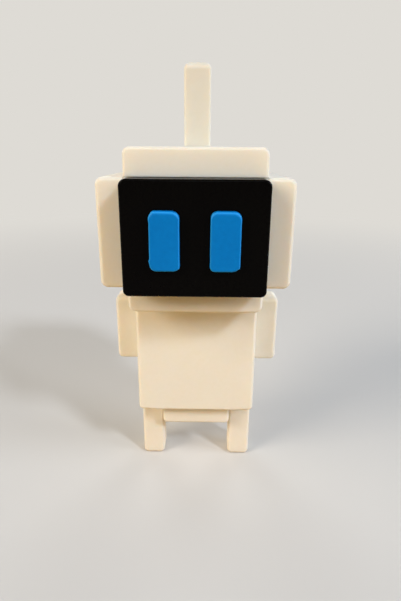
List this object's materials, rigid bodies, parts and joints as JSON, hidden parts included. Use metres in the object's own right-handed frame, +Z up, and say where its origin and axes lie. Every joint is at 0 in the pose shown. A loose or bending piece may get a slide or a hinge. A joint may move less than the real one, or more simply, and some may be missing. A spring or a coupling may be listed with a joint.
{
  "type": "block robot figure",
  "caption": "Push-fit block robot figure with a turning head, swinging arms and legs, a black face panel with blue eye inserts and a square antenna.",
  "frame": {"origin": "on the surface that the figure stands on, under the middle of its overall box", "axes": "+X to the figure's own left, +Y to its back, +Z up; the face looks along -Y"},
  "size_m": [0.07, 0.0826, 0.17],
  "materials": {
    "white_plastic": "warm white printed plastic, matte, fine layer lines",
    "black_plastic": "black printed plastic, matte with a faint sheen on its edges",
    "blue_plastic": "bright blue printed plastic, satin",
    "grey_rubber": "dark grey rubber, matte"
  },
  "bodies": {
    "torso": {"torso_front": "white_plastic", "torso_back": "white_plastic", "pelvis_block": "white_plastic", "neck_post": "white_plastic", "neck_clip": "white_plastic", "neck_washer": "grey_rubber", "left_shoulder_pin": "white_plastic", "right_shoulder_pin": "white_plastic", "hip_axle": "white_plastic"},
    "head": {"crown_block": "white_plastic", "head_core": "white_plastic", "chin_block": "white_plastic", "left_ear": "white_plastic", "right_ear": "white_plastic", "face_panel": "black_plastic", "left_eye": "blue_plastic", "right_eye": "blue_plastic", "back_panel": "white_plastic", "antenna": "white_plastic", "face_peg_upper": "white_plastic", "face_peg_lower": "white_plastic", "back_peg_upper": "white_plastic", "back_peg_lower": "white_plastic", "left_ear_peg_front": "white_plastic", "left_ear_peg_rear": "white_plastic", "right_ear_peg_front": "white_plastic", "right_ear_peg_rear": "white_plastic"},
    "left_arm": {"left_arm": "white_plastic"},
    "right_arm": {"right_arm": "white_plastic"},
    "left_leg": {"left_leg": "white_plastic"},
    "right_leg": {"right_leg": "white_plastic"}
  },
  "joints": [
    {"name": "neck_turn", "type": "hinge", "parent": "torso", "child": "head", "pos_m": [0, 0.00125, 0.08], "axis": [0, 0, 1], "continuous": true},
    {"name": "left_shoulder", "type": "hinge", "parent": "torso", "child": "left_arm", "pos_m": [0.025, 0.00125, 0.075], "axis": [-1, 0, 0], "range_deg": [-90, 90]},
    {"name": "right_shoulder", "type": "hinge", "parent": "torso", "child": "right_arm", "pos_m": [-0.025, 0.00125, 0.075], "axis": [-1, 0, 0], "range_deg": [-90, 90]},
    {"name": "left_hip", "type": "hinge", "parent": "torso", "child": "left_leg", "pos_m": [0.015, 0.00125, 0.0245], "axis": [-1, 0, 0], "range_deg": [-90, 90]},
    {"name": "right_hip", "type": "hinge", "parent": "torso", "child": "right_leg", "pos_m": [-0.015, 0.00125, 0.0245], "axis": [-1, 0, 0], "range_deg": [-90, 90]}
  ]
}
